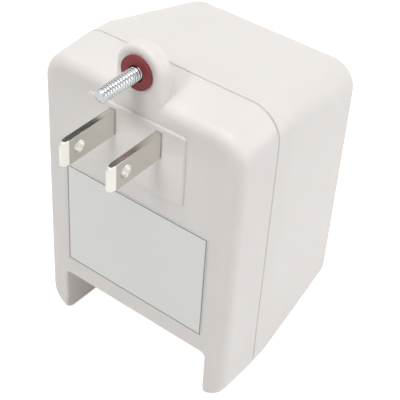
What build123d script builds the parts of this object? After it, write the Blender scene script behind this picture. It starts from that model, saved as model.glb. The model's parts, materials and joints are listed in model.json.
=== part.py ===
from build123d import *
import os

# Plug-in wall transformer in a two-part moulded housing.
# X runs across the unit, Y away from the wall into the room and Z up.
# The origin is midway between the two blades, on the face that meets the wall.
# All sizes are in millimetres.

# Blades and their slots
BLADE_SPACING = 12.7
BLADE_HEIGHT = 6.35
BLADE_THICKNESS = 1.52
BLADE_REACH = 16.9
BLADE_HOLE_DIAMETER = 3.2
BLADE_HOLE_FROM_WALL = 11.9
BLADE_TIP_BEVEL = 0.45
BLADE_TIP_BEVEL_LENGTH = 2.0
BLADE_TIP_CORNER = 1.0
BLADE_SHOULDER_HEIGHT = 9.0
BLADE_SHOULDER_LENGTH = 1.6
BLADE_TAG_HEIGHT = 4.0
BLADE_TAG_LENGTH = 5.0
BLADE_TAG_HOLE_DIAMETER = 1.6
SLOT_CLEARANCE = 0.1

# Moulded housing, measured from the blade centre line
WALL_FACE_WIDTH = 55.0
WALL_FACE_TOP = 9.3
WALL_FACE_BOTTOM = -69.0
SEAM_WIDTH = 55.5
SEAM_TOP = 10.6
SEAM_BOTTOM = -69.5
SEAM_DEPTH = 12.9
SEAM_STEP = 0.1
SEAM_GAP = 0.6
SEAM_GAP_DEPTH = 0.8
BAND_WIDTH = 6.3
BAND_DRAFT = 0.1
ROOM_FACE_WIDTH = 50.2
ROOM_FACE_TOP = 3.6
ROOM_FACE_BOTTOM = -64.3
BODY_DEPTH = 50.0
WALL_FACE_CORNER = 7.2
SEAM_CORNER = 7.6
ROOM_FACE_CORNER = 6.8
WALL_FACE_EDGE_RADIUS = 2.8
ROOM_FACE_EDGE_RADIUS = 2.2
SHELL_WALL = 2.0

# Notch between the two legs, where the terminals are
LEG_WIDTH = 6.0
PLATE_BOTTOM = -54.4
NOTCH_CORNER = 1.2
LEG_EDGE_RADIUS = 0.8
LEG_INNER_WALL = 1.4

# Raised pad round the blades
PAD_WIDTH = 26.8
PAD_TOP = 4.7
PAD_BOTTOM = -13.5
PAD_HEIGHT = 0.5
PAD_CORNER = 0.8

# Mounting tab, screw and captive washer
SCREW_AXIS_HEIGHT = 15.1
TAB_RADIUS = 6.1
TAB_THICKNESS = 4.0
TAB_EDGE_RADIUS = 1.1
SCREW_DIAMETER = 3.5
SCREW_REACH = 12.0
SCREW_HEAD_DIAMETER = 7.0
SCREW_HEAD_HEIGHT = 2.3
SCREW_SLOT_WIDTH = 1.0
SCREW_SLOT_DEPTH = 1.1
SCREW_TIP_CHAMFER = 0.5
SCREW_HOLE_CLEARANCE = 0.25
SCREW_NECK_DIAMETER = 2.9
SCREW_NECK_MARGIN = 0.2
WASHER_DIAMETER = 8.0
WASHER_THICKNESS = 0.8
WASHER_HOLE_CLEARANCE = 0.15

# Blank rating label
LABEL_WIDTH = 41.0
LABEL_TOP = -19.1
LABEL_BOTTOM = -48.8
LABEL_THICKNESS = 0.12
LABEL_CORNER = 0.6

# Laminated core: an E stack closed by an I stack, with the coil axis upright
CORE_SIDE_GAP = 1.7
CORE_LIMB = 8.0
CORE_WINDOW_HEIGHT = 24.0
CORE_TOP = -8.0
CORE_FIT = 0.1
CORE_BOLT_HOLE = 3.4

# Bobbin and windings
BOBBIN_FIT = 0.2
BOBBIN_WALL = 1.0
BOBBIN_FLANGE = 1.0
BOBBIN_CORNER = 1.5
COIL_MARGIN = 0.3
COIL_ROOM = 4.0
TAPE_THICKNESS = 0.3
WINDING_SETBACK = 0.8

# Thermal fuse, wires and insulating sheet
FUSE_DIAMETER = 3.2
FUSE_LENGTH = 11.0
FUSE_LEAD_DIAMETER = 0.8
FUSE_LEAD_LENGTH = 4.0
FUSE_CLEARANCE = 0.15
LEAD_DIAMETER = 1.6
LEAD_CLEARANCE = 0.1
SHEET_THICKNESS = 0.4
SHEET_FLAP = 6.0

# Terminal block on the underside, with two wire-binding screws
TERMINAL_SPACING = 17.0
BLOCK_WIDTH = 36.0
BLOCK_DEPTH = 12.0
BLOCK_BACK_GAP = 3.4
BLOCK_DROP = 2.6
BLOCK_RISE = 1.6
BLOCK_FLANGE = 1.6
BLOCK_FIT = 0.15
BARRIER_THICKNESS = 1.4
BARRIER_DROP = 4.0
TERMINAL_PLATE = 9.0
TERMINAL_PLATE_THICKNESS = 1.0
TERMINAL_LUG_WIDTH = 3.0
TERMINAL_LUG_RISE = 3.0
TERMINAL_LUG_SETBACK = 2.15
TERMINAL_HEAD_DIAMETER = 7.0
TERMINAL_HEAD_HEIGHT = 2.0
TERMINAL_SHANK_DIAMETER = 3.5
TERMINAL_SHANK_LENGTH = 6.0
CLAMP_WASHER_SIZE = 8.0
CLAMP_WASHER_THICKNESS = 0.8
THREAD_CLEARANCE = 0.05

# Ribs, posts and lip inside the housing
LIP_THICKNESS = 0.9
LIP_LENGTH = 2.0
LIP_FIT = 0.1
POST_DIAMETER = 5.0
POST_DRAFT = 1.0
POST_INSET = 3.6
RAIL_THICKNESS = 1.4

# Places worked out from the sizes above
HALF_SPACING = BLADE_SPACING / 2
LEG_INNER_HALF_WIDTH = SEAM_WIDTH / 2 - LEG_WIDTH
INNER_WALL_FACE = SHELL_WALL
INNER_ROOM_FACE = BODY_DEPTH - SHELL_WALL
FLOOR_INSIDE = PLATE_BOTTOM + SHELL_WALL
CORE_WIDTH = SEAM_WIDTH - 2 * (SHELL_WALL + CORE_SIDE_GAP)
CORE_STACK = BODY_DEPTH - 2 * (SHELL_WALL + CORE_LIMB + COIL_ROOM)
CORE_CENTRE_DEPTH = BODY_DEPTH / 2
CORE_HEIGHT = CORE_WINDOW_HEIGHT + 2 * CORE_LIMB
CORE_BOTTOM = CORE_TOP - CORE_HEIGHT
WINDOW_TOP = CORE_TOP - CORE_LIMB
WINDOW_BOTTOM = WINDOW_TOP - CORE_WINDOW_HEIGHT
CORE_FRONT = CORE_CENTRE_DEPTH - CORE_STACK / 2
CORE_BACK = CORE_CENTRE_DEPTH + CORE_STACK / 2
CENTRE_LIMB = 2 * CORE_LIMB
COIL_HALF_WIDTH = CORE_WIDTH / 2 - CORE_LIMB - COIL_MARGIN
COIL_HALF_DEPTH = CORE_STACK / 2 + CORE_LIMB - COIL_MARGIN
BLOCK_CENTRE_DEPTH = INNER_ROOM_FACE - BLOCK_BACK_GAP - BLOCK_FLANGE - BLOCK_DEPTH / 2


def upright_plane(depth):
    """A sketch plane parallel to the wall at this depth, with sketch Y upwards, facing the wall."""
    return Plane(origin=(0, depth, 0), x_dir=(1, 0, 0), z_dir=(0, -1, 0))


def wall_section(depth, width, top, bottom, corner):
    """A rounded rectangle parallel to the wall."""
    middle = (top + bottom) / 2
    outline = Pos(0, middle) * RectangleRounded(width, top - bottom, corner)
    return upright_plane(depth) * outline


def between(near, far):
    """A drafted solid between two sections given as (depth, width, top, bottom, corner)."""
    return loft([wall_section(*near), wall_section(*far)], ruled=True)


def inset(section, amount, depth=None):
    """The same section with its sides moved inwards, at its own or another depth."""
    own_depth, width, top, bottom, corner = section
    where = own_depth if depth is None else depth
    return (where, width - 2 * amount, top - amount, bottom + amount, corner - amount)


def block(left, right, near, far, bottom, top):
    """A plain rectangular solid given by its limits along X, Y and Z."""
    middle = ((left + right) / 2, (near + far) / 2, (bottom + top) / 2)
    return Pos(*middle) * Box(right - left, far - near, top - bottom)


def rod(diameter, near, far, x=0.0, z=0.0):
    """A cylinder with its axis along Y."""
    middle = Pos(x, (near + far) / 2, z) * Rot(90, 0, 0)
    return middle * Cylinder(diameter / 2, far - near)


def upright_rod(diameter, bottom, top, x=0.0, y=0.0):
    """A cylinder with its axis along Z."""
    return Pos(x, y, (bottom + top) / 2) * Cylinder(diameter / 2, top - bottom)


def wire(points, diameter, bend):
    """A round wire along straight runs joined by arcs."""
    path = FilletPolyline(*points, radius=bend)
    section = Plane(origin=path @ 0, z_dir=path % 0) * Circle(diameter / 2)
    return sweep(section, path=path)


def at_depth(near, far, depth):
    """The section between two others at a depth, on the straight draft that joins them."""
    share = (depth - near[0]) / (far[0] - near[0])
    return (depth,) + tuple(a + (b - a) * share for a, b in zip(near[1:], far[1:]))


WALL_SECTION = (0.0, WALL_FACE_WIDTH, WALL_FACE_TOP, WALL_FACE_BOTTOM, WALL_FACE_CORNER)
SEAM_SECTION = (SEAM_DEPTH, SEAM_WIDTH, SEAM_TOP, SEAM_BOTTOM, SEAM_CORNER)
FRONT_SEAM_SECTION = inset(SEAM_SECTION, SEAM_STEP)
BAND_SECTION = inset(FRONT_SEAM_SECTION, BAND_DRAFT, SEAM_DEPTH + BAND_WIDTH)
ROOM_SECTION = (BODY_DEPTH, ROOM_FACE_WIDTH, ROOM_FACE_TOP, ROOM_FACE_BOTTOM, ROOM_FACE_CORNER)


def notch(near, far, grow_side=0.0, grow_up=0.0):
    """The space between the legs, which may be grown by the walls round it."""
    half = LEG_INNER_HALF_WIDTH + grow_side
    top = PLATE_BOTTOM + grow_up
    return block(-half, half, near, far, SEAM_BOTTOM - SHELL_WALL, top)


def rounded_notch(near, far):
    """The space between the legs with its two inner corners rounded."""
    space = notch(near, far)
    corners = space.edges().filter_by(Axis.Y).group_by(Axis.Z)[-1]
    return fillet(corners, NOTCH_CORNER)


def posts(near, far, wide_end):
    """Four drafted posts that hold the core by its corners."""
    solids = []
    across = CORE_WIDTH / 2 - POST_INSET
    for x in (-across, across):
        for z in (CORE_TOP - POST_INSET, CORE_BOTTOM + POST_INSET):
            ends = ((near, POST_DIAMETER), (far, POST_DIAMETER - POST_DRAFT))
            if wide_end == far:
                ends = ((near, POST_DIAMETER - POST_DRAFT), (far, POST_DIAMETER))
            discs = [upright_plane(y) * Pos(x, z) * Circle(d / 2) for y, d in ends]
            solids.append(loft(discs, ruled=True))
    return solids


def mounting_tab():
    """The half-round tab that carries the screw, with soft outer edges."""
    profile = Pos(0, SCREW_AXIS_HEIGHT) * Circle(TAB_RADIUS)
    foot = WALL_FACE_TOP - WALL_FACE_EDGE_RADIUS - SHELL_WALL
    height = SCREW_AXIS_HEIGHT - foot
    profile += Pos(0, foot + height / 2) * Rectangle(2 * TAB_RADIUS, height)
    tab = extrude(upright_plane(0) * profile, amount=-TAB_THICKNESS)
    rims = tab.edges().filter_by(GeomType.CIRCLE)
    return fillet(rims, TAB_EDGE_RADIUS)


def blade_slot(x):
    """The hole through the wall face that one blade passes."""
    half_thick = BLADE_THICKNESS / 2 + SLOT_CLEARANCE
    half_high = BLADE_HEIGHT / 2 + SLOT_CLEARANCE
    depth = INNER_WALL_FACE + BLADE_SHOULDER_LENGTH
    return block(x - half_thick, x + half_thick, -2 * PAD_HEIGHT, depth, -half_high, half_high)


def blade_guide(x):
    """The raised collar inside that keeps one blade's shoulder from turning."""
    half_thick = BLADE_THICKNESS / 2 + SLOT_CLEARANCE
    half_high = BLADE_SHOULDER_HEIGHT / 2 + SLOT_CLEARANCE
    far = INNER_WALL_FACE + BLADE_SHOULDER_LENGTH
    outer = block(x - half_thick - RAIL_THICKNESS, x + half_thick + RAIL_THICKNESS, INNER_WALL_FACE,
                  far, -half_high - RAIL_THICKNESS, half_high + RAIL_THICKNESS)
    room = block(x - half_thick, x + half_thick, INNER_WALL_FACE, far, -half_high, half_high)
    return outer - room


def mouth_edges(cover):
    """The edges where the space between the legs opens on the wall face."""
    reach = LEG_INNER_HALF_WIDTH + LEG_EDGE_RADIUS / 2
    on_face = [edge for edge in cover.edges() if abs(edge.center().Y) < LEG_EDGE_RADIUS / 2]
    low = [edge for edge in on_face if edge.center().Z < PLATE_BOTTOM + LEG_EDGE_RADIUS / 2]
    return [edge for edge in low if abs(edge.center().X) < reach]


def rear_cover():
    """The wall-side moulding with the pad, slots, mounting tab and fronts of the legs."""
    rim = at_depth(WALL_SECTION, SEAM_SECTION, SEAM_DEPTH - SEAM_GAP / 2)
    outer = between(WALL_SECTION, rim)
    outer = fillet(outer.faces().sort_by(Axis.Y)[0].edges(), WALL_FACE_EDGE_RADIUS)
    outer += between(inset(rim, SEAM_GAP_DEPTH), inset(SEAM_SECTION, SEAM_GAP_DEPTH))
    inner_near = inset(at_depth(WALL_SECTION, SEAM_SECTION, INNER_WALL_FACE), SHELL_WALL)
    hollow = between(inner_near, inset(SEAM_SECTION, SHELL_WALL))
    hollow -= notch(0, SEAM_DEPTH, LEG_INNER_WALL, SHELL_WALL)
    cover = outer + mounting_tab() - hollow
    pad = Pos(0, (PAD_TOP + PAD_BOTTOM) / 2) * RectangleRounded(PAD_WIDTH, PAD_TOP - PAD_BOTTOM, PAD_CORNER)
    pad_solid = extrude(upright_plane(0) * pad, amount=PAD_HEIGHT)
    pad_solid = chamfer(pad_solid.faces().sort_by(Axis.Y)[0].edges(), PAD_HEIGHT / 2)
    cover += pad_solid
    cover -= rounded_notch(-SHELL_WALL, SEAM_DEPTH)
    cover = fillet(mouth_edges(cover), LEG_EDGE_RADIUS)
    for x in (-HALF_SPACING, HALF_SPACING):
        cover += blade_guide(x)
        cover -= blade_slot(x)
    for post in posts(INNER_WALL_FACE, CORE_FRONT - CORE_FIT, INNER_WALL_FACE):
        cover += post
    hole = SCREW_DIAMETER + 2 * SCREW_HOLE_CLEARANCE
    cover -= rod(hole, -SHELL_WALL, 2 * TAB_THICKNESS, z=SCREW_AXIS_HEIGHT)
    return cover


def seam_lip():
    """The tongue of the front cover that locates inside the rear cover's rim."""
    near = at_depth(WALL_SECTION, SEAM_SECTION, SEAM_DEPTH - LIP_LENGTH)
    tongue = between(inset(near, SHELL_WALL + LIP_FIT), inset(SEAM_SECTION, SHELL_WALL + LIP_FIT))
    in_wall = SHELL_WALL / 2
    tongue += between(inset(SEAM_SECTION, in_wall), inset(SEAM_SECTION, in_wall, SEAM_DEPTH + LIP_LENGTH))
    bore = SHELL_WALL + LIP_FIT + LIP_THICKNESS
    hollow = between(inset(near, bore), inset(SEAM_SECTION, bore, SEAM_DEPTH + LIP_LENGTH))
    below = notch(0, BODY_DEPTH, SEAM_WIDTH, SHELL_WALL + LIP_FIT)
    return tongue - hollow - below


def front_cover():
    """The room-side moulding with the backs of the legs and the floor that holds the terminals."""
    rim = at_depth(FRONT_SEAM_SECTION, BAND_SECTION, SEAM_DEPTH + SEAM_GAP / 2)
    outer = between(BAND_SECTION, ROOM_SECTION)
    outer = fillet(outer.faces().sort_by(Axis.Y)[-1].edges(), ROOM_FACE_EDGE_RADIUS)
    outer += between(rim, BAND_SECTION)
    outer += between(inset(SEAM_SECTION, SEAM_GAP_DEPTH), inset(SEAM_SECTION, SEAM_GAP_DEPTH, rim[0]))
    inner_band = inset(BAND_SECTION, SHELL_WALL)
    inner_room = inset(at_depth(BAND_SECTION, ROOM_SECTION, INNER_ROOM_FACE), SHELL_WALL)
    hollow = between(inset(SEAM_SECTION, SHELL_WALL), inner_band) + between(inner_band, inner_room)
    hollow -= notch(SEAM_DEPTH, BODY_DEPTH, LEG_INNER_WALL, SHELL_WALL)
    cover = outer - hollow + seam_lip()
    cover -= rounded_notch(0, INNER_ROOM_FACE)
    for post in posts(CORE_BACK + CORE_FIT, INNER_ROOM_FACE, INNER_ROOM_FACE):
        cover += post
    half_wide = BLOCK_WIDTH / 2 + BLOCK_FIT
    half_deep = BLOCK_DEPTH / 2 + BLOCK_FIT
    cover -= block(-half_wide, half_wide, BLOCK_CENTRE_DEPTH - half_deep, BLOCK_CENTRE_DEPTH + half_deep,
                   PLATE_BOTTOM - SHELL_WALL, FLOOR_INSIDE + SHELL_WALL)
    rail_reach = CORE_WIDTH / 2 - 2 * POST_INSET
    for x in (-rail_reach, rail_reach):
        cover += block(x - RAIL_THICKNESS / 2, x + RAIL_THICKNESS / 2, SEAM_DEPTH, CORE_BACK - CORE_LIMB,
                       FLOOR_INSIDE, CORE_BOTTOM - CORE_FIT)
    return cover


def blade(x):
    """One flat blade with a bevelled tip, a locking hole, a shoulder and a wire tag."""
    far = INNER_WALL_FACE
    half_high = BLADE_HEIGHT / 2
    half_thick = BLADE_THICKNESS / 2
    body = block(x - half_thick, x + half_thick, -BLADE_REACH, far, -half_high, half_high)
    corners = body.faces().sort_by(Axis.Y)[0].edges().filter_by(Axis.X)
    body = fillet(corners, BLADE_TIP_CORNER)
    half_tip = half_thick - BLADE_TIP_BEVEL
    bevel_end = BLADE_TIP_BEVEL_LENGTH - BLADE_REACH
    plan = Polyline((x - half_tip, -BLADE_REACH), (x + half_tip, -BLADE_REACH), (x + half_thick, bevel_end),
                    (x + half_thick, far), (x - half_thick, far), (x - half_thick, bevel_end), close=True)
    body &= extrude(make_face(plan), amount=half_high, both=True)
    shoulder_end = far + BLADE_SHOULDER_LENGTH
    half_shoulder = BLADE_SHOULDER_HEIGHT / 2
    body += block(x - half_thick, x + half_thick, far, shoulder_end, -half_shoulder, half_shoulder)
    tag_end = shoulder_end + BLADE_TAG_LENGTH
    half_tag = BLADE_TAG_HEIGHT / 2
    body += block(x - half_thick, x + half_thick, shoulder_end, tag_end, -half_tag, half_tag)
    across = Rot(0, 90, 0)
    body -= Pos(x, -BLADE_HOLE_FROM_WALL, 0) * across * Cylinder(BLADE_HOLE_DIAMETER / 2, BLADE_HEIGHT)
    tag_hole = Pos(x, tag_end - BLADE_TAG_HOLE_DIAMETER, 0) * across
    body -= tag_hole * Cylinder(BLADE_TAG_HOLE_DIAMETER / 2, BLADE_HEIGHT)
    return body


def mounting_screw():
    """Slotted pan-head screw with a thin neck in the tab, its head on the room side."""
    thread_start = -WASHER_THICKNESS - SCREW_NECK_MARGIN
    thread = rod(SCREW_DIAMETER, -SCREW_REACH, thread_start, z=SCREW_AXIS_HEIGHT)
    thread = chamfer(thread.faces().sort_by(Axis.Y)[0].edges(), SCREW_TIP_CHAMFER)
    shank = thread + rod(SCREW_NECK_DIAMETER, thread_start, TAB_THICKNESS, z=SCREW_AXIS_HEIGHT)
    head_end = TAB_THICKNESS + SCREW_HEAD_HEIGHT
    head = rod(SCREW_HEAD_DIAMETER, TAB_THICKNESS, head_end, z=SCREW_AXIS_HEIGHT)
    head = fillet(head.faces().sort_by(Axis.Y)[-1].edges(), SCREW_HEAD_HEIGHT / 2)
    slot_half = SCREW_SLOT_WIDTH / 2
    slot = block(-SCREW_HEAD_DIAMETER, SCREW_HEAD_DIAMETER, head_end - SCREW_SLOT_DEPTH, head_end,
                 SCREW_AXIS_HEIGHT - slot_half, SCREW_AXIS_HEIGHT + slot_half)
    return shank + head - slot


def retaining_washer():
    """The fibre washer that keeps the screw in the tab."""
    disc = rod(WASHER_DIAMETER, -WASHER_THICKNESS, 0, z=SCREW_AXIS_HEIGHT)
    hole = SCREW_DIAMETER + 2 * WASHER_HOLE_CLEARANCE
    return disc - rod(hole, -WASHER_THICKNESS, 0, z=SCREW_AXIS_HEIGHT)


def rating_label():
    """A blank foil label on the wall face."""
    middle = (LABEL_TOP + LABEL_BOTTOM) / 2
    outline = Pos(0, middle) * RectangleRounded(LABEL_WIDTH, LABEL_TOP - LABEL_BOTTOM, LABEL_CORNER)
    return extrude(upright_plane(0) * outline, amount=LABEL_THICKNESS)


def e_laminations():
    """The E stack: a yoke, two outer limbs and the centre limb."""
    half = CORE_WIDTH / 2
    stack = block(-half, half, CORE_FRONT, CORE_BACK, WINDOW_BOTTOM, CORE_TOP)
    for side in (-1, 1):
        edges = sorted((side * CENTRE_LIMB / 2, side * (half - CORE_LIMB)))
        stack -= block(edges[0], edges[1], CORE_FRONT, CORE_BACK, WINDOW_BOTTOM, WINDOW_TOP)
        across = side * (half - CORE_LIMB / 2)
        stack -= rod(CORE_BOLT_HOLE, CORE_FRONT, CORE_BACK, across, CORE_TOP - CORE_LIMB / 2)
    return stack


def i_laminations():
    """The I stack that closes the core below the windows."""
    half = CORE_WIDTH / 2
    stack = block(-half, half, CORE_FRONT, CORE_BACK, CORE_BOTTOM, WINDOW_BOTTOM)
    for side in (-1, 1):
        across = side * (half - CORE_LIMB / 2)
        stack -= rod(CORE_BOLT_HOLE, CORE_FRONT, CORE_BACK, across, CORE_BOTTOM + CORE_LIMB / 2)
    return stack


def limb_outline(grow):
    """The bobbin's bore round the centre limb, grown by an amount."""
    margin = 2 * (BOBBIN_FIT + grow)
    return Rectangle(CENTRE_LIMB + margin, CORE_STACK + margin)


def on_coil_axis(profile, bottom, top):
    """A profile carried up between two heights round the coils' axis."""
    return Pos(0, CORE_CENTRE_DEPTH, bottom) * extrude(profile, amount=top - bottom)


def coil_ring(inner_grow, outer_shrink, bottom, top):
    """An upright rectangular ring round the centre limb, sized from the bobbin's bore and flange."""
    wide = 2 * (COIL_HALF_WIDTH - outer_shrink)
    deep = 2 * (COIL_HALF_DEPTH - outer_shrink)
    profile = RectangleRounded(wide, deep, BOBBIN_CORNER) - limb_outline(inner_grow)
    return on_coil_axis(profile, bottom, top)


COIL_TOP = WINDOW_TOP - CORE_FIT
COIL_BOTTOM = WINDOW_BOTTOM + CORE_FIT
COIL_MIDDLE = (COIL_TOP + COIL_BOTTOM) / 2
FLANGE_LEVELS = (COIL_BOTTOM, COIL_MIDDLE - BOBBIN_FLANGE / 2, COIL_TOP - BOBBIN_FLANGE)
SECONDARY_SPAN = (FLANGE_LEVELS[0] + BOBBIN_FLANGE, FLANGE_LEVELS[1])
PRIMARY_SPAN = (FLANGE_LEVELS[1] + BOBBIN_FLANGE, FLANGE_LEVELS[2])


def bobbin():
    """A split bobbin: a tube with three flanges that keep the two windings apart."""
    tube = on_coil_axis(limb_outline(BOBBIN_WALL) - limb_outline(0), COIL_BOTTOM, COIL_TOP)
    for level in FLANGE_LEVELS:
        tube += coil_ring(0, 0, level, level + BOBBIN_FLANGE)
    return tube


def winding(span):
    """One winding as a solid of its outer shape."""
    return coil_ring(BOBBIN_WALL, WINDING_SETBACK + TAPE_THICKNESS, *span)


def winding_tape(span):
    """The insulating tape round one winding."""
    whole = coil_ring(BOBBIN_WALL, WINDING_SETBACK, *span)
    return whole - winding(span)


TAPE_FRONT = CORE_CENTRE_DEPTH - COIL_HALF_DEPTH + WINDING_SETBACK


def thermal_fuse():
    """A small axial fuse that lies against the tape of the primary winding."""
    y = TAPE_FRONT - FUSE_CLEARANCE - FUSE_DIAMETER / 2
    z = sum(PRIMARY_SPAN) / 2
    across = Pos(0, y, z) * Rot(0, 90, 0)
    body = across * Cylinder(FUSE_DIAMETER / 2, FUSE_LENGTH)
    body = fillet(body.edges(), FUSE_LEAD_DIAMETER)
    return body + across * Cylinder(FUSE_LEAD_DIAMETER / 2, FUSE_LENGTH + 2 * FUSE_LEAD_LENGTH)


def primary_lead(side):
    """The insulated wire from one blade's tag down to the bobbin's top flange."""
    x = side * (HALF_SPACING + (BLADE_THICKNESS + LEAD_DIAMETER) / 2 + LEAD_CLEARANCE)
    tag_end = INNER_WALL_FACE + BLADE_SHOULDER_LENGTH + BLADE_TAG_LENGTH
    start = tag_end - 2 * BLADE_TAG_HOLE_DIAMETER
    turn = CORE_FRONT - SHEET_THICKNESS - 2 * LEAD_DIAMETER
    points = [(x, start, 0), (x, turn, 0), (x, turn, COIL_TOP + LEAD_CLEARANCE)]
    return wire(points, LEAD_DIAMETER, LEAD_DIAMETER)


LUG_DEPTH = BLOCK_CENTRE_DEPTH + TERMINAL_LUG_SETBACK
TERMINAL_DEPTH = BLOCK_CENTRE_DEPTH - TERMINAL_LUG_WIDTH / 2
BLOCK_BOTTOM = PLATE_BOTTOM - BLOCK_DROP
LUG_TOP = FLOOR_INSIDE + BLOCK_RISE + TERMINAL_LUG_RISE


def secondary_lead(side):
    """The insulated wire from the bobbin's lowest flange down to one terminal lug."""
    x = side * TERMINAL_SPACING / 2
    return upright_rod(LEAD_DIAMETER, LUG_TOP + LEAD_CLEARANCE, COIL_BOTTOM - LEAD_CLEARANCE, x, LUG_DEPTH)


def terminal_block():
    """The moulded block in the floor, with a flange inside and barriers between the terminals."""
    half_wide = BLOCK_WIDTH / 2
    near = BLOCK_CENTRE_DEPTH - BLOCK_DEPTH / 2
    far = BLOCK_CENTRE_DEPTH + BLOCK_DEPTH / 2
    top = FLOOR_INSIDE + BLOCK_RISE
    body = block(-half_wide, half_wide, near, far, BLOCK_BOTTOM, top)
    body += block(-half_wide - BLOCK_FLANGE, half_wide + BLOCK_FLANGE,
                  near - BLOCK_FLANGE, far + BLOCK_FLANGE, FLOOR_INSIDE, top)
    half_barrier = BARRIER_THICKNESS / 2
    for x in (half_barrier - half_wide, 0, half_wide - half_barrier):
        body += block(x - half_barrier, x + half_barrier, near, far,
                      BLOCK_BOTTOM - BARRIER_DROP, BLOCK_BOTTOM)
    shank_hole = TERMINAL_SHANK_DIAMETER + 2 * BLOCK_FIT
    half_lug = TERMINAL_LUG_WIDTH / 2 + THREAD_CLEARANCE
    half_plate = TERMINAL_PLATE_THICKNESS / 2 + THREAD_CLEARANCE
    for side in (-1, 1):
        x = side * TERMINAL_SPACING / 2
        body -= upright_rod(shank_hole, BLOCK_BOTTOM, top, x, TERMINAL_DEPTH)
        body -= block(x - half_lug, x + half_lug, LUG_DEPTH - half_plate, LUG_DEPTH + half_plate,
                      BLOCK_BOTTOM, top)
    return body


PLATE_UNDERSIDE = BLOCK_BOTTOM - TERMINAL_PLATE_THICKNESS


def terminal_plate(side):
    """One threaded plate with a lug that passes up through the block."""
    x = side * TERMINAL_SPACING / 2
    half = TERMINAL_PLATE / 2
    far = LUG_DEPTH + TERMINAL_PLATE_THICKNESS / 2
    plate = block(x - half, x + half, TERMINAL_DEPTH - half, far, PLATE_UNDERSIDE, BLOCK_BOTTOM)
    half_lug = TERMINAL_LUG_WIDTH / 2
    plate += block(x - half_lug, x + half_lug, far - TERMINAL_PLATE_THICKNESS, far, BLOCK_BOTTOM, LUG_TOP)
    hole = TERMINAL_SHANK_DIAMETER + 2 * THREAD_CLEARANCE
    return plate - upright_rod(hole, PLATE_UNDERSIDE, BLOCK_BOTTOM, x, TERMINAL_DEPTH)


def clamp_washer(side):
    """One square clamp washer with a turned-up edge."""
    x = side * TERMINAL_SPACING / 2
    half = CLAMP_WASHER_SIZE / 2
    bottom = PLATE_UNDERSIDE - CLAMP_WASHER_THICKNESS
    square = block(x - half, x + half, TERMINAL_DEPTH - half, TERMINAL_DEPTH + half, bottom, PLATE_UNDERSIDE)
    square = fillet(square.edges().filter_by(Axis.Z), CLAMP_WASHER_THICKNESS)
    hole = TERMINAL_SHANK_DIAMETER + 2 * THREAD_CLEARANCE
    return square - upright_rod(hole, bottom, PLATE_UNDERSIDE, x, TERMINAL_DEPTH)


def terminal_screw(side):
    """One wire-binding screw with a slotted head underneath."""
    x = side * TERMINAL_SPACING / 2
    seat = PLATE_UNDERSIDE - CLAMP_WASHER_THICKNESS
    head = upright_rod(TERMINAL_HEAD_DIAMETER, seat - TERMINAL_HEAD_HEIGHT, seat, x, TERMINAL_DEPTH)
    head = fillet(head.faces().sort_by(Axis.Z)[0].edges(), TERMINAL_HEAD_HEIGHT / 2)
    half_slot = SCREW_SLOT_WIDTH / 2
    slot_depth = TERMINAL_HEAD_HEIGHT / 2
    head -= block(x - TERMINAL_HEAD_DIAMETER, x + TERMINAL_HEAD_DIAMETER, TERMINAL_DEPTH - half_slot,
                  TERMINAL_DEPTH + half_slot, seat - TERMINAL_HEAD_HEIGHT, seat - slot_depth)
    return head + upright_rod(TERMINAL_SHANK_DIAMETER, seat, seat + TERMINAL_SHANK_LENGTH, x, TERMINAL_DEPTH)


def insulating_sheet():
    """Fish paper folded over the core's yoke, between it and the blade tags."""
    half = CORE_WIDTH / 2 - POST_INSET - POST_DIAMETER / 2
    near = CORE_FRONT - CORE_FIT
    top = CORE_TOP + CORE_FIT
    sheet = block(-half, half, near - SHEET_THICKNESS, CORE_BACK, top, top + SHEET_THICKNESS)
    return sheet + block(-half, half, near - SHEET_THICKNESS, near, CORE_TOP - SHEET_FLAP, top)


NODES = {
    "rear_cover": rear_cover(),
    "front_cover": front_cover(),
    "blade_left": blade(-HALF_SPACING),
    "blade_right": blade(HALF_SPACING),
    "mounting_screw": mounting_screw(),
    "retaining_washer": retaining_washer(),
    "rating_label": rating_label(),
    "e_laminations": e_laminations(),
    "i_laminations": i_laminations(),
    "bobbin": bobbin(),
    "primary_winding": winding(PRIMARY_SPAN),
    "secondary_winding": winding(SECONDARY_SPAN),
    "primary_tape": winding_tape(PRIMARY_SPAN),
    "secondary_tape": winding_tape(SECONDARY_SPAN),
    "thermal_fuse": thermal_fuse(),
    "insulating_sheet": insulating_sheet(),
    "primary_lead_left": primary_lead(-1),
    "primary_lead_right": primary_lead(1),
    "secondary_lead_left": secondary_lead(-1),
    "secondary_lead_right": secondary_lead(1),
    "terminal_block": terminal_block(),
    "terminal_plate_left": terminal_plate(-1),
    "terminal_plate_right": terminal_plate(1),
    "clamp_washers": Compound(children=[clamp_washer(side) for side in (-1, 1)]),
    "terminal_screws": Compound(children=[terminal_screw(side) for side in (-1, 1)]),
}

os.makedirs("parts", exist_ok=True)
for name, solid in NODES.items():
    export_step(solid, os.path.join("parts", name + ".step"))
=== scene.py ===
"""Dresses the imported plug-in transformer: finishes, screw threads, windings, light and camera.

Axes are the part's own: X across, Y away from the wall, Z up, with the origin midway between the blades.
Sizes of the object are in millimetres and turn to metres where a mesh or a material is made.
The stage's own sizes and places are in metres.
"""

from __future__ import annotations

import json
import logging
import math
from dataclasses import dataclass
from enum import Enum

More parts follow.
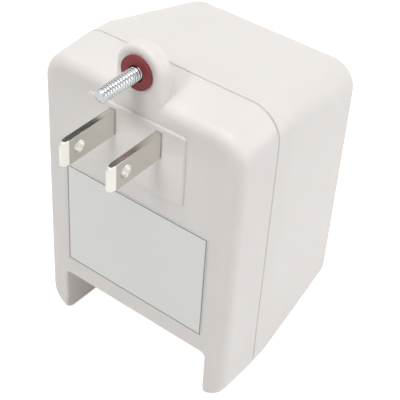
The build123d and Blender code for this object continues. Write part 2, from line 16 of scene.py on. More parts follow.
import bmesh
import bpy
import numpy as np
from mathutils import Matrix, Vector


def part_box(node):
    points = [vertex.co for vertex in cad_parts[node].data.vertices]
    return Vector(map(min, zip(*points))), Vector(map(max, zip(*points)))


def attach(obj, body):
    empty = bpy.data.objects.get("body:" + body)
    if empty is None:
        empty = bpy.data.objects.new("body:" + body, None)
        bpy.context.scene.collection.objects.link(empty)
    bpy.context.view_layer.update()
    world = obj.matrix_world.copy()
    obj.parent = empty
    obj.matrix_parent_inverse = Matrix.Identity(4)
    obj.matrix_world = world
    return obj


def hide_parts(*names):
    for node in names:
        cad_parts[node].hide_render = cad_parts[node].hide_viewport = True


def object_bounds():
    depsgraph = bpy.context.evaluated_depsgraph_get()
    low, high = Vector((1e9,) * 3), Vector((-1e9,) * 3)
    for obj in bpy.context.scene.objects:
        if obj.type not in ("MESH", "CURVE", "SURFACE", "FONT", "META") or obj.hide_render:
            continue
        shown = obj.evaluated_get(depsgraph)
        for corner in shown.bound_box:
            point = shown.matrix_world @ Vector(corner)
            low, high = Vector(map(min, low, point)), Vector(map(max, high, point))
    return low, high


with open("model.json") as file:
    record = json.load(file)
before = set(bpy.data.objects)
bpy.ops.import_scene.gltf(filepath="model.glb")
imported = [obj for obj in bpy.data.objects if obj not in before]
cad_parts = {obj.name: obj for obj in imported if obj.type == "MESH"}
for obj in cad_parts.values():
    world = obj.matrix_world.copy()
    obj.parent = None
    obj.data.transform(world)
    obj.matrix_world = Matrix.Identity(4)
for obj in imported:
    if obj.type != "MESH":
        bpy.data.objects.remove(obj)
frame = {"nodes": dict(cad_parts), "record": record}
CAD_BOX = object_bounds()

LOG = logging.getLogger("transformer")
MM = 0.001

Link = tuple[bpy.types.Node, str]
Triple = tuple[float, float, float]
Shell = tuple[np.ndarray, np.ndarray]
Materials = dict[str, bpy.types.Material]


class Axis(Enum):
    """Which way a screw's head points, as its two cross directions and its own.

    Both frames are left-handed, so a thread that is cut right-handed comes out left-handed.
    """

    INTO_ROOM = ((1, 0, 0), (0, 0, 1), (0, 1, 0))
    DOWN = ((1, 0, 0), (0, 1, 0), (0, 0, -1))


class Along(Enum):
    """The axis that thin layers are stacked along, as the output that gives it."""

    DEPTH = "Y"
    HEIGHT = "Z"


# Nodes


def linear(colour: str) -> tuple[float, float, float, float]:
    """Turns an sRGB hex colour to linear light, by the curve's straight part near black and its power above.

    Args:
        colour: The colour as "#RRGGBB".

    Returns:
        Red, green, blue and an alpha of one.
    """
    values = np.array([int(colour[i : i + 2], 16) / 255 for i in (1, 3, 5)])
    light = np.where(values <= 0.04045, values / 12.92, ((values + 0.055) / 1.055) ** 2.4)
    return (*light.tolist(), 1.0)


def add(
    tree: bpy.types.NodeTree, kind: str, inputs: dict[str | int, object] | None = None, **settings: object
) -> bpy.types.Node:
    """Adds one shader node with its settings, its values and its links.

    Args:
        tree: The node tree that gets the node.
        kind: The node's type name without "ShaderNode".
        inputs: A value or a (node, output) pair for each input, by name or place.
        **settings: The node's own properties.

    Returns:
        The new node.
    """
    node = tree.nodes.new("ShaderNode" + kind)
    for name, value in settings.items():
        setattr(node, name, value)
    for name, value in (inputs or {}).items():
        if isinstance(value, tuple) and isinstance(value[0], bpy.types.Node):
            tree.links.new(value[0].outputs[value[1]], node.inputs[name])
        else:
            node.inputs[name].default_value = value
    return node


def noise(tree: bpy.types.NodeTree, place: Link, size: float, detail: float) -> Link:
    """Returns a smooth noise from 0 to 1 whose grains have a size in millimetres."""
    return (add(tree, "TexNoise", {"Vector": place, "Scale": 1 / (size * MM), "Detail": detail}), "Fac")


def plain(name: str, colour: str, roughness: float) -> tuple[bpy.types.Material, bpy.types.Node]:
    """Makes a material of one colour and one roughness.

    Args:
        name: The material's name.
        colour: The colour as "#RRGGBB".
        roughness: The roughness, from 0 to 1.

    Returns:
        The material and its shader node.
    """
    material = bpy.data.materials.new(name)
    material.use_nodes = True
    shader = material.node_tree.nodes["Principled BSDF"]
    shader.inputs["Base Color"].default_value = linear(colour)
    shader.inputs["Roughness"].default_value = roughness
    return material, shader


# Finishes

# Where a Mix node has its two colours and its mixed colour.
MIX_FIRST, MIX_SECOND, MIX_RESULT = 6, 7, 2


@dataclass(frozen=True)
class Finish:
    """A finish: its colours, its shader values, its edge softness and the relief of its surface.

    The tint replaces the colour by the share that the shade mask gives. The relief is as high as the depth.
    """

    name: str
    colour: str
    tint: str
    roughness: float
    metallic: float = 0.0
    edge: float = 0.15
    grain: float = 1.0
    depth: float = 0.01
    patch: float = 12.0

    def height(self, tree: bpy.types.NodeTree, place: Link) -> Link:
        """Returns the height of the relief, from 0 to 1: here an even noise at the grain's size."""
        return noise(tree, place, self.grain, 2.0)

    def shade(self, tree: bpy.types.NodeTree, place: Link) -> Link:
        """Returns the mask, from 0 to 1, that blends the tint into the colour: here broad soft patches."""
        return noise(tree, place, self.patch, 3.0)

    def extras(self, shader: bpy.types.Node) -> None:
        """Sets any further values on the shader's own sockets: here none."""

    def make(self) -> bpy.types.Material:
        """Builds the material: a blend of the two colours, and a relief over an edge that is drawn softer.

        Returns:
            The material, with its nodes linked.
        """
        material, shader = plain(self.name, self.colour, self.roughness)
        shader.inputs["Metallic"].default_value = self.metallic
        tree = material.node_tree
        place = (add(tree, "TexCoord"), "Object")
        mask = self.shade(tree, place)
        blend = {"Factor": mask, MIX_FIRST: linear(self.colour), MIX_SECOND: linear(self.tint)}
        mix = add(tree, "Mix", blend, data_type="RGBA")
        tree.links.new(mix.outputs[MIX_RESULT], shader.inputs["Base Color"])
        edge = add(tree, "Bevel", {"Radius": self.edge * MM}, samples=6)
        relief = {"Height": self.height(tree, place), "Distance": self.depth * MM, "Normal": (edge, "Normal")}
        bump = add(tree, "Bump", relief)
        tree.links.new(bump.outputs["Normal"], shader.inputs["Normal"])
        self.extras(shader)
        return material


@dataclass(frozen=True)
class MouldedAbs(Finish):
    """Ivory ABS from a lightly eroded mould: a soft sheen, a fine grain and a little light under the skin."""

    name: str = "moulded_abs"
    colour: str = "#F0EAE9"
    tint: str = "#EDE7E4"
    roughness: float = 0.42
    edge: float = 0.25
    grain: float = 0.45
    depth: float = 0.006
    scatter_share: float = 0.9
    scatter_reach: float = 1.2
    scatter_colour: Triple = (1.0, 0.9, 0.8)

    def extras(self, shader: bpy.types.Node) -> None:
        """Adds the shallow scatter of white plastic, which carries red light the furthest.

        Args:
            shader: The material's shader node.
        """
        shader.inputs["Subsurface Weight"].default_value = self.scatter_share
        shader.inputs["Subsurface Scale"].default_value = self.scatter_reach * MM
        shader.inputs["Subsurface Radius"].default_value = self.scatter_colour


@dataclass(frozen=True)
class DrawnMetal(Finish):
    """Plated metal whose fine marks run along one axis, as rolling and tumbling leave them."""

    metallic: float = 1.0
    squeeze: Triple = (1.0, 0.08, 1.0)

    def height(self, tree: bpy.types.NodeTree, place: Link) -> Link:
        """Returns a noise that is drawn on squeezed coordinates, so its grains are long along the marks."""
        squeezed = add(tree, "Mapping", {"Vector": place, "Scale": self.squeeze})
        return noise(tree, (squeezed, "Vector"), self.grain, 3.0)


@dataclass(frozen=True)
class PrintedFilm(Finish):
    """Matt polyester film with a printed border line just inside its edge."""

    name: str = "polyester_film"
    colour: str = "#F0EFEC"
    tint: str = "#85888A"
    roughness: float = 0.5
    edge: float = 0.03
    grain: float = 0.6
    depth: float = 0.003
    node: str = "rating_label"
    line_inset: float = 0.3
    line_width: float = 0.32
    line_blur: float = 0.1

    def shade(self, tree: bpy.types.NodeTree, place: Link) -> Link:
        """Draws the border as a rectangle that is set in from the label's edge.

        The distance past the rectangle's sides is taken across and upwards, and the size of the larger one is
        the distance from the line. The mask falls from 1 to 0 where that passes half the line's width.

        Args:
            tree: The node tree that gets the nodes.
            place: The coordinates that the border is drawn on.

        Returns:
            The mask, from 0 to 1.
        """
        low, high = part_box(self.node)
        parts = add(tree, "SeparateXYZ", {"Vector": place})
        past = []
        for output, start, end in (("X", low[0], high[0]), ("Z", low[2], high[2])):
            offset = add(tree, "Math", {0: (parts, output), 1: (start + end) / 2}, operation="SUBTRACT")
            away = add(tree, "Math", {0: (offset, "Value")}, operation="ABSOLUTE")
            half = (end - start) / 2 - self.line_inset * MM
            past.append(add(tree, "Math", {0: (away, "Value"), 1: half}, operation="SUBTRACT"))
        larger = add(tree, "Math", {0: (past[0], "Value"), 1: (past[1], "Value")}, operation="MAXIMUM")
        distance = add(tree, "Math", {0: (larger, "Value")}, operation="ABSOLUTE")
        outer, inner = ((0.5 + blur) * self.line_width * MM for blur in (self.line_blur, -self.line_blur))
        line = add(tree, "MapRange", {"Value": (distance, "Value"), "From Min": outer, "From Max": inner})
        return (line, "Result")


@dataclass(frozen=True)
class Layered(Finish):
    """A surface of thin parallel layers, each a shallow ridge."""

    axis: Along = Along.DEPTH
    pitch: float = 0.5

    def height(self, tree: bpy.types.NodeTree, place: Link) -> Link:
        """Draws one ridge to each layer: the size of the sine of half a turn to the pitch.

        Args:
            tree: The node tree that gets the nodes.
            place: The coordinates that the ridges are drawn on.

        Returns:
            The height, from 0 to 1.
        """
        parts = add(tree, "SeparateXYZ", {"Vector": place})
        per_metre = math.pi / (self.pitch * MM)
        angle = add(tree, "Math", {0: (parts, self.axis.value), 1: per_metre}, operation="MULTIPLY")
        wave = add(tree, "Math", {0: (angle, "Value")}, operation="SINE")
        return (add(tree, "Math", {0: (wave, "Value")}, operation="ABSOLUTE"), "Value")


FINISHES: dict[str, Finish] = {
    # Ivory ABS: a soft even sheen, and rims that the light melts over.
    "cover_plastic": MouldedAbs(),
    # Nickel plate over brass, tumbled: pale, slightly warm and dull, with fine marks along the blade.
    "nickel_plate": DrawnMetal("nickel_plate", "#E3E1DA", "#D3D1C9", 0.22, edge=0.2, grain=0.25, depth=0.006),
    # Bright zinc with a blue passivate: cold highlights on the thread.
    "zinc_plate": DrawnMetal("zinc_plate", "#C4C6C7", "#B2B6BA", 0.18, edge=0.08, grain=0.3, depth=0.004),
    # Vulcanised fibre, punched from sheet: dull and slightly mottled.
    "red_fibre": Finish("vulcanised_fibre", "#8C2E33", "#7A2328", 0.55, edge=0.12, grain=0.25, depth=0.02),
    # Matt polyester film: a pale field inside a thin grey line.
    "label_foil": PrintedFilm(),
    # Varnished electrical steel sheets: dark, with a line at each sheet's edge.
    "core_steel": Layered("varnished_steel", "#4A4C50", "#3A3A3C", 0.35, 0.8, depth=0.08),
    # Natural nylon, moulded: milky with a soft shine.
    "bobbin_nylon": Finish("natural_nylon", "#E6E1D2", "#DED8C6", 0.35, grain=0.8, depth=0.004),
    # Enamelled copper wire: clear amber varnish over copper.
    "enamelled_copper": Finish("enamelled_copper", "#B5562B", "#99431F", 0.25, 0.9, grain=0.6, depth=0.004),
    # Polyester tape: glossy yellow with faint wraps.
    "coil_tape": Layered(
        "polyester_tape", "#D9B23A", "#CDA42C", 0.25, depth=0.02, axis=Along.HEIGHT, pitch=1.5
    ),
    # Dark epoxy enamel, dipped: smooth and glossy.
    "fuse_case": Finish("fuse_enamel", "#3A3A3E", "#303034", 0.3, grain=0.5, depth=0.006),
    # Pressed fish paper: grey, matt and fibrous.
    "fish_paper": Finish("fish_paper", "#828C90", "#747E82", 0.75, grain=0.3, depth=0.03),
    # Extruded PVC: even colour with a soft shine, in black and in red.
    "black_insulation": Finish("pvc_black", "#1D1D1E", "#242425", 0.35, grain=0.6, depth=0.006),
    "red_insulation": Finish("pvc_red", "#A3241F", "#95201C", 0.35, grain=0.6, depth=0.006),
    # Black phenolic, compression moulded: hard, with a faint grey bloom.
    "black_phenolic": Finish("phenolic", "#232324", "#2D2D2E", 0.4, edge=0.2, grain=0.5, depth=0.01),
    # Stamped brass, bright where it was rolled.
    "brass_plate": DrawnMetal("stamped_brass", "#C9A257", "#B48D45", 0.27, edge=0.12, grain=0.3, depth=0.005),
}


# Surfaces

# The corner that each quarter of a turn rounds, as the signs of its place.
QUARTERS = ((1, 1), (-1, 1), (-1, -1), (1, -1))
# How much steeper than an even V the groove's sides are, and how much is taken off to leave flat crests.
FLANK_SLOPE = 1.7
CREST_DROP = 0.6
# How many rows of points a head has beside its slot, and how many points lie along a row.
HEAD_ROWS = 14
HEAD_COLUMNS = 25
# Points that are nearer than this are the two sides of a seam.
SEAM = 0.002


def grid_faces(points: np.ndarray, wrap_rows: bool = False) -> np.ndarray:
    """Lists the four-sided faces between the points of a grid whose rows close on themselves.

    Args:
        points: The points, in rows.
        wrap_rows: Whether the last row joins the first.

    Returns:
        One line of four point numbers for each face.
    """
    rows, columns = points.shape[:2]
    upper = np.arange(rows if wrap_rows else rows - 1)[:, None]
    left = np.arange(columns)[None, :]
    lower, right = (upper + 1) % rows, (left + 1) % columns
    places = ((upper, left), (upper, right), (lower, right), (lower, left))
    corners = [row * columns + column for row, column in places]
    return np.stack(corners, axis=-1).reshape(-1, 4)


def rounded_rectangle(half_width: float, half_height: float, corner: float, points: int) -> np.ndarray:
    """Outlines a rectangle round the origin whose corners are quarter circles.

    Each quarter circle turns round a point that lies its radius inside both sides.

    Args:
        half_width: Half the width.
        half_height: Half the height.
        corner: The radius of the corners.
        points: How many points each corner has.

    Returns:
        The outline's points, one line each.
    """
    arcs = []
    for quarter, side in enumerate(QUARTERS):
        angle = np.linspace(quarter, quarter + 1, points) * np.pi / 2
        centre = np.array(side) * (half_width - corner, half_height - corner)
        arcs.append(centre + corner * np.stack((np.cos(angle), np.sin(angle)), axis=1))
    return np.concatenate(arcs)


def turned(profile: np.ndarray, segments: int) -> np.ndarray:
    """Carries a profile of (radius, height) points round an axis.

    Each point stays at its height and its radius is laid out at equal angles.

    Args:
        profile: The profile's points, one line each.
        segments: How many steps the turn has.

    Returns:
        Points in rows, as (cross, cross, along).
    """
    angle = np.linspace(0, 2 * np.pi, segments, endpoint=False)[None, :]
    radius, along = profile[:, :1], profile[:, 1:]
    return np.stack((radius * np.cos(angle), radius * np.sin(angle), along + 0 * angle), axis=-1)


def threaded(
    profile: np.ndarray, pitch: float, depth: float, span: tuple[float, float], segments: int
) -> np.ndarray:
    """Turns a rod and cuts a helical groove into it between two heights.

    A wave is 1 at each root and 0 midway between two, from the height in pitches minus the turn. The cut is
    that wave with steeper sides, kept between 0 and 1: a V with flat crests. It fades in and out over one
    pitch. Points on the axis lie outside the span, so nothing is cut from them.

    Args:
        profile: The rod's (radius, height) points, closely spaced over the thread.
        pitch: The distance between two crests.
        depth: The depth of the groove.
        span: The heights where the thread starts and ends, the lower one first.
        segments: How many steps the turn has.

    Returns:
        Points in rows, as (cross, cross, along).
    """
    points = turned(profile, segments)
    turn = np.linspace(0, 1, segments, endpoint=False)[None, :]
    along = points[..., 2]
    wave = np.abs(2 * ((along / pitch - turn) % 1.0) - 1)
    fade = np.clip(np.minimum(along - span[0], span[1] - along) / pitch, 0, 1)
    cut = depth * fade * np.clip(FLANK_SLOPE * wave - CREST_DROP, 0, 1)
    share = 1 - cut / np.maximum(np.hypot(points[..., 0], points[..., 1]), depth)
    points[..., :2] *= share[..., None]
    return points


def slotted_head(radius: float, height: float, slot_width: float, slot_depth: float) -> np.ndarray:
    """Draws a round screw head with a rounded rim and a straight slot, as one closed sleeve of points.

    Rows run across the slot and columns along each chord of the circle, over the top and back underneath. The
    top is a quarter circle of half the height near the rim and flat inside it, and lies lower on the slot's
    three rows.

    Args:
        radius: The head's radius.
        height: The head's height.
        slot_width: The slot's width.
        slot_depth: The slot's depth.

    Returns:
        Points in rows, as (cross, cross, along), with the seat at zero.
    """
    half = slot_width / 2
    rounding = height / 2
    outside = -radius * np.cos(np.linspace(0, np.arccos(half / radius), HEAD_ROWS))
    slot = (-half, 0.0, half)
    rows = np.concatenate((outside, slot, -outside[::-1]))
    in_slot = np.zeros(len(rows), bool)
    in_slot[HEAD_ROWS : HEAD_ROWS + len(slot)] = True
    share = np.sin(np.linspace(-np.pi / 2, np.pi / 2, HEAD_COLUMNS))
    across = np.sqrt(np.maximum(radius**2 - rows**2, 0))[:, None] * share[None, :]
    side = rows[:, None] + 0 * across
    past = np.clip(np.hypot(across, side) - (radius - rounding), 0, rounding)
    top = height - rounding + np.sqrt(rounding**2 - past**2)
    top = np.where(in_slot[:, None], height - slot_depth, top)
    upper = np.stack((across, side, top), axis=-1)
    lower = np.stack((across, side, 0 * top), axis=-1)[:, ::-1]
    return np.concatenate((upper, lower), axis=1)


def placed(points: np.ndarray, axis: Axis, seat: Triple) -> np.ndarray:
    """Turns local points to the axis and moves them to the seat."""
    return points @ np.array(axis.value, float) + np.array(seat)


def piece(
    name: str, stands_for: str, slot: str, shells: list[Shell], sharp: float, materials: Materials
) -> None:
    """Makes one object from closed shells, merges their seams and lets it stand for a node of the part.

    Args:
        name: The object's name.
        stands_for: The node that the piece replaces.
        slot: The material slot of the record that the piece takes its finish from.
        shells: Each shell's points in millimetres and its faces.
        sharp: The angle in degrees above which an edge stays sharp.
        materials: The finished materials by slot.
    """
    counts = np.cumsum([0] + [points.reshape(-1, 3).shape[0] for points, _ in shells])
    points = np.concatenate([points.reshape(-1, 3) for points, _ in shells]) * MM
    faces = np.concatenate([faces + start for (_, faces), start in zip(shells, counts)])
    mesh = bpy.data.meshes.new(name)
    mesh.from_pydata(points.tolist(), [], faces.tolist())
    work = bmesh.new()
    work.from_mesh(mesh)
    bmesh.ops.remove_doubles(work, verts=work.verts, dist=SEAM * MM)
    bmesh.ops.dissolve_degenerate(work, edges=work.edges, dist=SEAM * MM)
    bmesh.ops.recalc_face_normals(work, faces=work.faces)
    work.to_mesh(mesh)
    work.free()
    mesh.polygons.foreach_set("use_smooth", np.ones(len(mesh.polygons), bool))
    mesh.set_sharp_from_angle(angle=math.radians(sharp))
    mesh.materials.append(materials[slot])
    item = bpy.data.objects.new(name, mesh)
    bpy.context.scene.collection.objects.link(item)
    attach(item, "root")
    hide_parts(stands_for)
    LOG.info("%s stands for %s with %d faces", name, stands_for, len(mesh.polygons))


# Sub-assemblies


@dataclass(frozen=True)
class ThreadedScrew:
    """A machine screw with a helical thread, a neck if it has one, and a slotted head.

    Heights along the shank count down from the seat, the middle of the head's underside.
    """

    axis: Axis
    head_radius: float
    head_height: float
    slot_depth: float
    major: float
    neck: float
    thread: tuple[float, float]
    slot_width: float = 1.0
    sunk: float = 0.4
    shoulder: float = 0.001
    pitch: float = 0.794
    groove: float = 0.3
    tip: float = 0.5
    row_step: float = 0.05
    tip_rows: int = 8
    segments: int = 56
    sharp: float = 60.0

    def profile(self) -> np.ndarray:
        """Lists the shank's points: the neck, close rows over the thread, and a chamfered tip.

        Returns:
            (radius, height) points, one line each, from inside the head to the middle of the end.
        """
        start, end = self.thread
        neck = [(0.0, self.sunk), (self.neck, self.sunk), (self.neck, start + self.shoulder)]
        body = [(self.major, height) for height in np.arange(start, end + self.tip, -self.row_step)]
        chamfer = self.tip * np.linspace(0, 1, self.tip_rows)
        tip = [(self.major - step, end + self.tip - step) for step in chamfer]
        return np.array(neck + body + tip + [(0.0, end)])

    def shells(self, seat: Triple) -> list[Shell]:
        """Builds the shank and the head at a seat.

        Args:
            seat: The middle of the head's underside.

        Returns:
            The two closed shells.
        """
        shank = threaded(self.profile(), self.pitch, self.groove, self.thread[::-1], self.segments)
        head = slotted_head(self.head_radius, self.head_height, self.slot_width, self.slot_depth)
        return [(placed(part, self.axis, seat), grid_faces(part)) for part in (shank, head)]


@dataclass
class MountingHardware:
    """The captive screw on the tab and its fibre washer."""

    screw: ThreadedScrew = ThreadedScrew(
        Axis.INTO_ROOM, head_radius=3.5, head_height=2.3, slot_depth=1.1,
        major=1.64, neck=1.45, thread=(-4.1, -16.0),
    )
    screw_height: float = 15.1
    tab_thickness: float = 4.0
    washer_radius: float = 4.0
    washer_hole: float = 1.9
    washer_thickness: float = 0.8
    washer_edge: float = 0.14
    edge_points: int = 6
    washer_segments: int = 96
    washer_sharp: float = 50.0

    def build(self, materials: Materials) -> None:
        """Makes the screw and the washer.

        Args:
            materials: The finished materials by slot.
        """
        shells = self.screw.shells((0.0, self.tab_thickness, self.screw_height))
        piece("threaded_screw", "mounting_screw", "zinc_plate", shells, self.screw.sharp, materials)
        ring = placed(self.washer(), Axis.INTO_ROOM, (0.0, 0.0, self.screw_height))
        shells = [(ring, grid_faces(ring, wrap_rows=True))]
        piece("fibre_washer", "retaining_washer", "red_fibre", shells, self.washer_sharp, materials)

    def washer(self) -> np.ndarray:
        """Turns a rounded rectangle, from the hole to the rim, round the screw's axis.

        Returns:
            Points in rows, as (cross, cross, along), with the washer's inner face at zero.
        """
        half_width = (self.washer_radius - self.washer_hole) / 2
        half_height = self.washer_thickness / 2
        outline = rounded_rectangle(half_width, half_height, self.washer_edge, self.edge_points)
        return turned(outline + (self.washer_hole + half_width, -half_height), self.washer_segments)


@dataclass
class Terminals:
    """The two wire-binding screws under the terminal block."""

    screw: ThreadedScrew = ThreadedScrew(
        Axis.DOWN, head_radius=3.5, head_height=2.0, slot_depth=1.0,
        major=1.75, neck=1.75, thread=(-0.1, -6.0),
    )
    spacing: float = 17.0
    depth: float = 35.5
    seat_height: float = -58.8

    def build(self, materials: Materials) -> None:
        """Makes both screws as one piece.

        Args:
            materials: The finished materials by slot.
        """
        shells: list[Shell] = []
        for side in (-1, 1):
            shells += self.screw.shells((side * self.spacing / 2, self.depth, self.seat_height))
        piece("binding_screws", "terminal_screws", "nickel_plate", shells, self.screw.sharp, materials)


@dataclass
class Windings:
    """The two coils of enamelled wire on the split bobbin."""

    bore_half_width: float = 9.2
    bore_half_depth: float = 12.2
    bore_corner: float = 0.4
    corner: float = 1.5
    corner_points: int = 7
    wire: float = 0.5
    rows_per_turn: int = 6
    dip_share: float = 0.25
    rounding_margin: float = 1e-6
    sharp: float = 40.0

    def build(self, materials: Materials) -> None:
        """Makes each coil as a ring whose outside shows its turns, as large as the winding it stands for.

        Args:
            materials: The finished materials by slot.
        """
        for name, node in (("primary_turns", "primary_winding"), ("secondary_turns", "secondary_winding")):
            low, high = (np.array(corner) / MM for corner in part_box(node))
            piece(name, node, "enamelled_copper", [self.ring(low, high)], self.sharp, materials)

    def ring(self, low: np.ndarray, high: np.ndarray) -> Shell:
        """Closes a ring round the core's middle limb: rounded rectangles up the outside and down the bore.

        The outside moves in by a quarter wire between turns: by one minus the size of the sine of the height,
        with half a turn of the sine to each wire.

        Args:
            low: The low corner of the winding's box.
            high: The high corner of the winding's box.

        Returns:
            The points and the faces.
        """
        bottom, top = low[2], high[2]
        centre = (low + high)[:2] / 2
        half_width, half_depth = (high - low)[:2] / 2
        level = np.arange(bottom, top + self.rounding_margin, self.wire / self.rows_per_turn)
        dip = self.dip_share * self.wire * (1 - np.abs(np.sin(np.pi * (level - bottom) / self.wire)))
        rows = [(half_width - inward, half_depth - inward, self.corner, z) for inward, z in zip(dip, level)]
        rows += [(self.bore_half_width, self.bore_half_depth, self.bore_corner, z) for z in (top, bottom)]
        outlines = []
        for width, depth, corner, z in rows:
            outline = rounded_rectangle(width, depth, corner, self.corner_points) + centre
            outlines.append(np.insert(outline, 2, z, axis=1))
        points = np.stack(outlines)
        return points, grid_faces(points, wrap_rows=True)


# Stage

# The point near the middle of the object that the lamps and the card face.
AIM = (0.0, 0.02, -0.02)


def looking(place: Triple, back: np.ndarray, roll: float) -> Matrix:
    """Gives the matrix of a camera or lamp at a place.

    The right side is level and square to the view, and both cross directions are then turned by the roll.

    Args:
        place: Where it is.
        back: The unit direction from what it looks at towards it.
        roll: Its turn about the view, in radians.

    Returns:
        The four by four matrix.
    """
    right = np.cross(-back, (0, 0, 1))
    right /= np.linalg.norm(right)
    up = np.cross(right, -back)
    turned_right = right * math.cos(roll) + up * math.sin(roll)
    turned_up = up * math.cos(roll) - right * math.sin(roll)
    matrix = np.eye(4)
    matrix[:3] = np.stack((turned_right, turned_up, back, np.array(place)), axis=1)
    return Matrix(matrix.tolist())


def hang(item: bpy.types.Object, place: Triple) -> None:
    """Adds a lamp or a card to the scene at a place, turned to face the object.

    Args:
        item: The lamp or the card.
        place: Where it hangs.
    """
    away = np.array(place) - np.array(AIM)
    item.matrix_world = looking(place, away / np.linalg.norm(away), 0.0)
    bpy.context.scene.collection.objects.link(item)


def sheet(
    name: str, width: float, height: float, level: float, material: bpy.types.Material
) -> bpy.types.Object:
    """Makes a level rectangle whose middle is on the Z axis.

    Args:
        name: The sheet's name.
        width: Its size along X.
        height: Its size along Y.
        level: Its place on Z.
        material: Its material.

    Returns:
        The sheet, not yet in the scene.
    """
    corners = [(x * width / 2, y * height / 2, level) for x, y in ((-1, -1), (1, -1), (1, 1), (-1, 1))]
    mesh = bpy.data.meshes.new(name)
    mesh.from_pydata(corners, [], [(0, 1, 2, 3)])
    mesh.materials.append(material)
    return bpy.data.objects.new(name, mesh)


def in_sight(tree: bpy.types.NodeTree) -> tuple[Link, Link]:
    """Finds how a ray came to a surface.

    Args:
        tree: The node tree that gets the nodes.

    Returns:
        Two masks: one for what the camera sees itself, and one for what gloss or something clear shows it.
    """
    path = add(tree, "LightPath")
    indirect = {0: (path, "Is Glossy Ray"), 1: (path, "Is Transmission Ray")}
    bent = add(tree, "Math", indirect, operation="MAXIMUM")
    return (path, "Is Camera Ray"), (bent, "Value")


@dataclass(frozen=True)
class SoftLamp:
    """A rectangular soft lamp that faces the object: metres for its place and size, watts for its power."""

    name: str
    place: Triple
    size: tuple[float, float]
    power: float
    colour: Triple = (1.0, 1.0, 1.0)
    in_gloss: bool = True

    def build(self) -> None:
        """Adds the lamp to the scene, with its highlight or without."""
        data = bpy.data.lights.new(self.name, "AREA")
        data.shape = "RECTANGLE"
        data.size, data.size_y = self.size
        data.energy = self.power
        data.color = self.colour
        lamp = bpy.data.objects.new(self.name, data)
        lamp.visible_glossy = self.in_gloss
        hang(lamp, self.place)


@dataclass(frozen=True)
class Viewpoint:
    """Where the photograph was taken from: angles in degrees, a place in metres and a lens in millimetres."""

    azimuth: float = 34.87
    elevation: float = 37.74
    roll: float = 3.92
    place: Triple = (0.1182, -0.1453, 0.1381)
    lens: float = 98.1
    sensor: float = 36.0
    lens_shift: float = -0.1

    def build(self) -> None:
        """Adds the camera, with the little lens shift that the photograph's framing needs."""
        azimuth, elevation = math.radians(self.azimuth), math.radians(self.elevation)
        level = math.cos(elevation)
        back = np.array((math.sin(azimuth) * level, -math.cos(azimuth) * level, math.sin(elevation)))
        data = bpy.data.cameras.new("camera")
        data.sensor_width = self.sensor
        data.lens = self.lens
        data.shift_y = self.lens_shift
        camera = bpy.data.objects.new("camera", data)
        camera.matrix_world = looking(self.place, back, math.radians(self.roll))
        bpy.context.scene.collection.objects.link(camera)
        bpy.context.scene.camera = camera


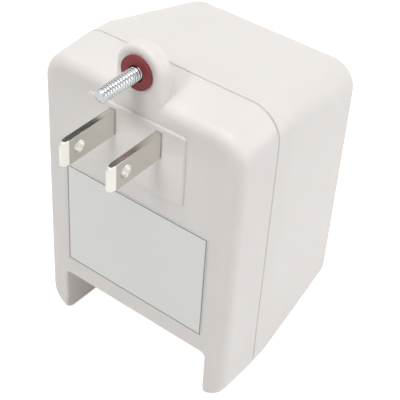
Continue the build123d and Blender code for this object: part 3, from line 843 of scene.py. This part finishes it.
@dataclass
class Stage:
    """The pale floor, the even surroundings, the soft lamps, the black card and the camera."""

    floor_size: float = 6.0
    floor_colour: str = "#F4F4F4"
    floor_roughness: float = 0.9
    # How bright the floor glows near the object, for the camera and for gloss. Between the two distances the
    # glow rises to full.
    floor_glow: float = 0.75
    gloss_glow: float = 0.35
    rise_start: float = 0.2
    rise_end: float = 1.0
    surroundings: float = 0.14
    lamps: tuple[SoftLamp, ...] = (
        # A small lamp in front draws the shadows of the tab and the blades.
        SoftLamp("front_key", (0.0, -0.65, 0.65), (0.2, 0.1), 1.7),
        # A broad panel overhead, a trace green, lights the top and most of the rest.
        SoftLamp("top_panel", (0.0, -0.1, 0.9), (0.8, 0.8), 6.1, (0.97, 1.0, 0.97)),
        # A panel on the right shapes the side.
        SoftLamp("right_panel", (0.8, 0.45, 0.3), (0.6, 0.6), 3.1),
        # A panel behind lifts the sloping top and leaves no highlight on it.
        SoftLamp("back_fill", (-0.55, 0.75, 0.35), (0.7, 0.7), 2.2, in_gloss=False),
    )
    card_place: Triple = (0.0, 0.75, 0.56)
    card_width: float = 1.6
    card_height: float = 0.75
    card_colour: str = "#0A0A0A"
    view: Viewpoint = Viewpoint()

    def floor(self) -> None:
        """Lays a wide pale floor under the lowest point.

        Its glow is the sum, over the camera and gloss, of whether that sees it times a glow that rises evenly
        to full with the distance from the object.
        """
        material, shader = plain("painted_floor", self.floor_colour, self.floor_roughness)
        tree = material.node_tree
        far = add(tree, "VectorMath", {0: (add(tree, "TexCoord"), "Object")}, operation="LENGTH")
        glows = []
        for seen, near in zip(in_sight(tree), (self.floor_glow, self.gloss_glow)):
            reach = {"From Min": self.rise_start, "From Max": self.rise_end, "To Min": near, "To Max": 1.0}
            rise = add(tree, "MapRange", {"Value": (far, "Value"), **reach})
            glows.append(add(tree, "Math", {0: seen, 1: (rise, "Result")}, operation="MULTIPLY"))
        total = add(tree, "Math", {0: (glows[0], "Value"), 1: (glows[1], "Value")}, operation="ADD")
        glow = add(tree, "Emission", {"Strength": (total, "Value")})
        both = add(tree, "AddShader", {0: (shader, "BSDF"), 1: (glow, "Emission")})
        tree.links.new(both.outputs["Shader"], tree.nodes["Material Output"].inputs["Surface"])
        item = sheet("floor", self.floor_size, self.floor_size, CAD_BOX[0][2], material)
        bpy.context.scene.collection.objects.link(item)

    def air(self) -> None:
        """Lights evenly from all round and shows plain white to the camera and to gloss."""
        world = bpy.data.worlds.new("studio")
        bpy.context.scene.world = world
        world.use_nodes = True
        tree = world.node_tree
        straight, bent = in_sight(tree)
        seen = add(tree, "Math", {0: straight, 1: bent}, operation="MAXIMUM")
        level = add(tree, "MapRange", {"Value": (seen, "Value"), "To Min": self.surroundings, "To Max": 1.0})
        background = tree.nodes["Background"]
        background.inputs["Color"].default_value = (1, 1, 1, 1)
        tree.links.new(level.outputs["Result"], background.inputs["Strength"])

    def card(self) -> None:
        """Hangs a black card behind and above the object, so that its metal shows dark bands beside the white.

        Only gloss sees it: it takes no light from the object and throws no shadow.
        """
        material, _ = plain("black_felt", self.card_colour, 1.0)
        item = sheet("black_card", self.card_width, self.card_height, 0.0, material)
        item.visible_camera = item.visible_diffuse = item.visible_shadow = item.visible_transmission = False
        hang(item, self.card_place)

    def build(self) -> None:
        """Makes the floor, the surroundings, the lamps, the card and the camera."""
        bpy.context.scene.view_settings.view_transform = "Standard"
        self.floor()
        self.air()
        for lamp in self.lamps:
            lamp.build()
        self.card()
        self.view.build()


def dress(materials: Materials) -> None:
    """Gives every node of the part the finish of its slot.

    Args:
        materials: The finished materials by slot.
    """
    for part in frame["record"]["subparts"]:
        node = frame["nodes"][part["node"]]
        for slot in node.material_slots:
            slot.material = materials[part["material_slot"]]
        LOG.info("%s has the finish %s", part["node"], part["material_slot"])


def main() -> None:
    """Builds the finishes and the sub-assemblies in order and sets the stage."""
    logging.basicConfig(level=logging.INFO, format="%(name)s: %(message)s")
    materials = {slot: finish.make() for slot, finish in FINISHES.items()}
    dress(materials)
    for assembly in (MountingHardware(), Terminals(), Windings()):
        assembly.build(materials)
    Stage().build()


if __name__ == "__main__":
    main()
